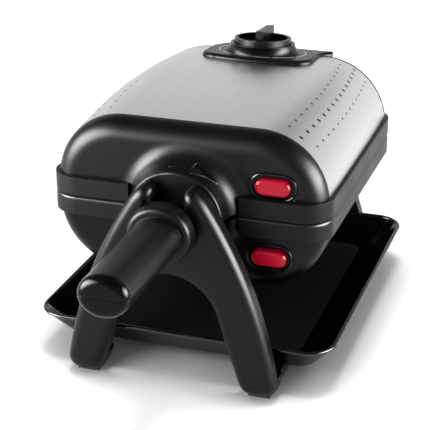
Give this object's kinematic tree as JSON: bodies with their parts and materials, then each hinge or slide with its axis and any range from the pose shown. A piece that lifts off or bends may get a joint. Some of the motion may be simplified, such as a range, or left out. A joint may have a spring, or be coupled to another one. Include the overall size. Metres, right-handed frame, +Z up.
{
  "type": "rotating waffle maker",
  "caption": "Rotating waffle maker: clamshell head with grid plates turns over on a front cradle leg and a rear bearing leg, above a removable drip tray.",
  "frame": {"origin": "on the floor, under the middle of the appliance's bounding box", "axes": "+Z up, +Y to the back along the head's turning axis, +X to the right as seen by someone holding the handle"},
  "size_m": [0.249, 0.4618, 0.2268],
  "materials": {
    "black_plastic": "satin moulded black",
    "gloss_black": "polished black",
    "red_plastic": "polished red",
    "coated_plate": "cast, with a dark non-stick coat",
    "steel": "brushed along the depth",
    "bare_aluminium": "bright rolled sheet",
    "bright_metal": "bright",
    "rubber": "matt black",
    "nylon": "natural nylon"
  },
  "bodies": {
    "stand": {"front_leg": "black_plastic", "rear_leg": "black_plastic", "left_rail": "black_plastic", "right_rail": "black_plastic", "foot_pad_front_left": "rubber", "foot_pad_front_right": "rubber", "foot_pad_rear_left": "rubber", "foot_pad_rear_right": "rubber", "rear_bush": "nylon"},
    "tray": {"drip_tray": "gloss_black"},
    "lower_head": {"lower_housing": "black_plastic", "lower_band": "coated_plate", "lower_plate": "coated_plate", "lower_heater": "bright_metal", "lower_reflector": "bare_aluminium", "lower_reflector_screws": "bright_metal", "lower_handle": "black_plastic", "lower_handle_cap": "gloss_black", "rear_trunnion": "bright_metal", "cord_gland": "black_plastic", "hinge_pin": "bright_metal"},
    "upper_head": {"upper_housing": "black_plastic", "steel_cover": "steel", "upper_band": "coated_plate", "upper_plate": "coated_plate", "upper_heater": "bright_metal", "upper_reflector": "bare_aluminium", "upper_reflector_screws": "bright_metal", "upper_handle": "black_plastic", "upper_handle_cap": "gloss_black", "dial_bezel": "black_plastic", "thermostat": "nylon"},
    "knob": {"thermostat_knob": "black_plastic", "thermostat_shaft": "bright_metal"},
    "upper_release": {"upper_button": "red_plastic"},
    "lower_release": {"lower_button": "red_plastic"}
  },
  "joints": [
    {"name": "head_turn", "type": "hinge", "parent": "stand", "child": "lower_head", "pos_m": [0, 0.05705, 0.1375], "axis": [0, 1, 0], "range_deg": [-180, 0]},
    {"name": "lid_hinge", "type": "hinge", "parent": "lower_head", "child": "upper_head", "pos_m": [0, 0.19305, 0.1645], "axis": [-1, 0, 0], "range_deg": [0, 95]},
    {"name": "tray_slide", "type": "slide", "parent": "stand", "child": "tray", "axis": [1, 0, 0], "range_m": [0, 0.26]},
    {"name": "knob_turn", "type": "hinge", "parent": "upper_head", "child": "knob", "pos_m": [0, 0.15005, 0.2063], "axis": [0, -0.0872, -0.9962], "range_deg": [0, 270]},
    {"name": "upper_release_press", "type": "slide", "parent": "upper_head", "child": "upper_release", "axis": [0, 1, 0], "range_m": [0, 0.005], "stiffness_N_per_m": 400, "springref_m": -0.003},
    {"name": "lower_release_press", "type": "slide", "parent": "lower_head", "child": "lower_release", "axis": [0, 1, 0], "range_m": [0, 0.005], "stiffness_N_per_m": 400, "springref_m": -0.003}
  ]
}
